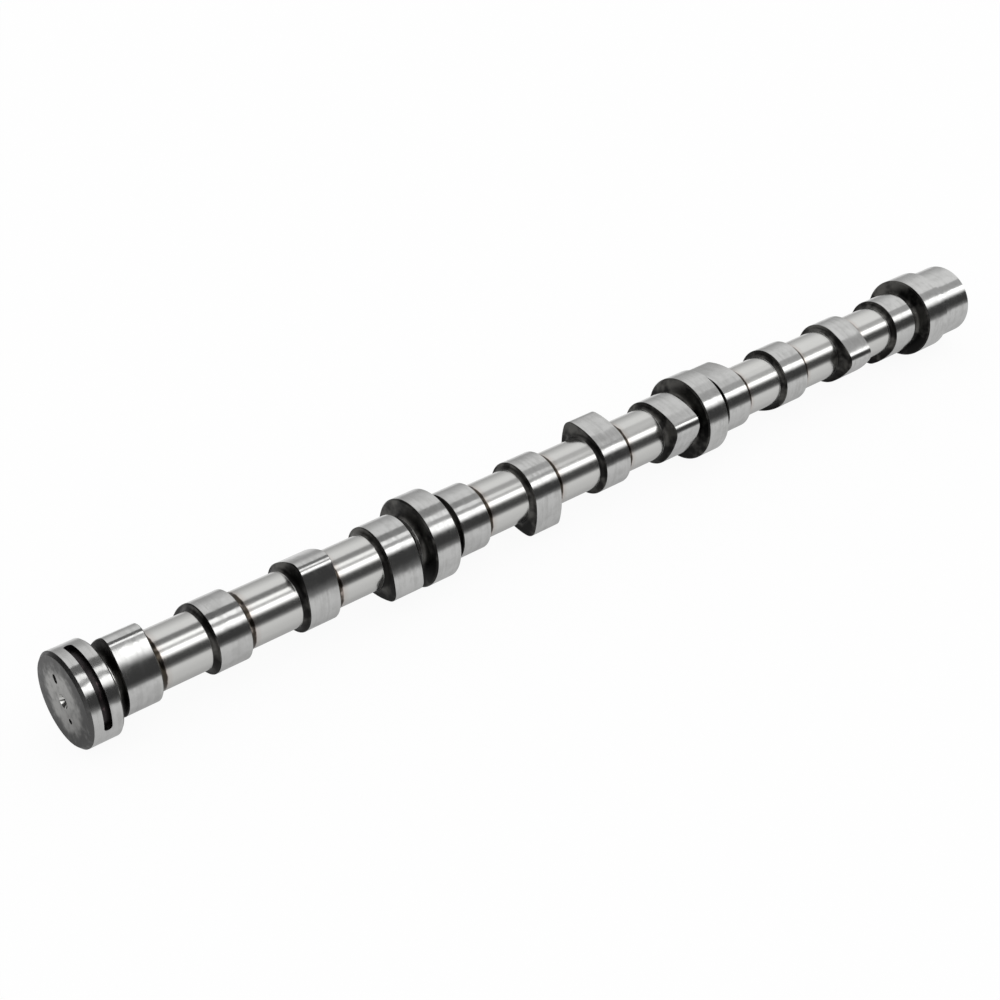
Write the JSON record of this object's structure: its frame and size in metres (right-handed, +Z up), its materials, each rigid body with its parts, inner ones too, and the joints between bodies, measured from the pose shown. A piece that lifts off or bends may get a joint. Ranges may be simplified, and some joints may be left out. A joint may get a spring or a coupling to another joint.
{
  "type": "camshaft",
  "caption": "Steel camshaft for an in-line engine: ground cam lobes between larger bearing journals, with an oil slot in the end journal and a gear seat at the other end.",
  "frame": {"origin": "on the shaft's axis, in the middle of the slotted journal", "axes": "+X along the shaft towards the gear seat, +Z up with the first lobe's nose pointing up"},
  "size_m": [0.742, 0.0564, 0.0564],
  "materials": {
    "ground_steel": "ground and polished steel, with light brown staining in the fillets"
  },
  "bodies": {
    "root": {"camshaft": "ground_steel"}
  },
  "joints": []
}
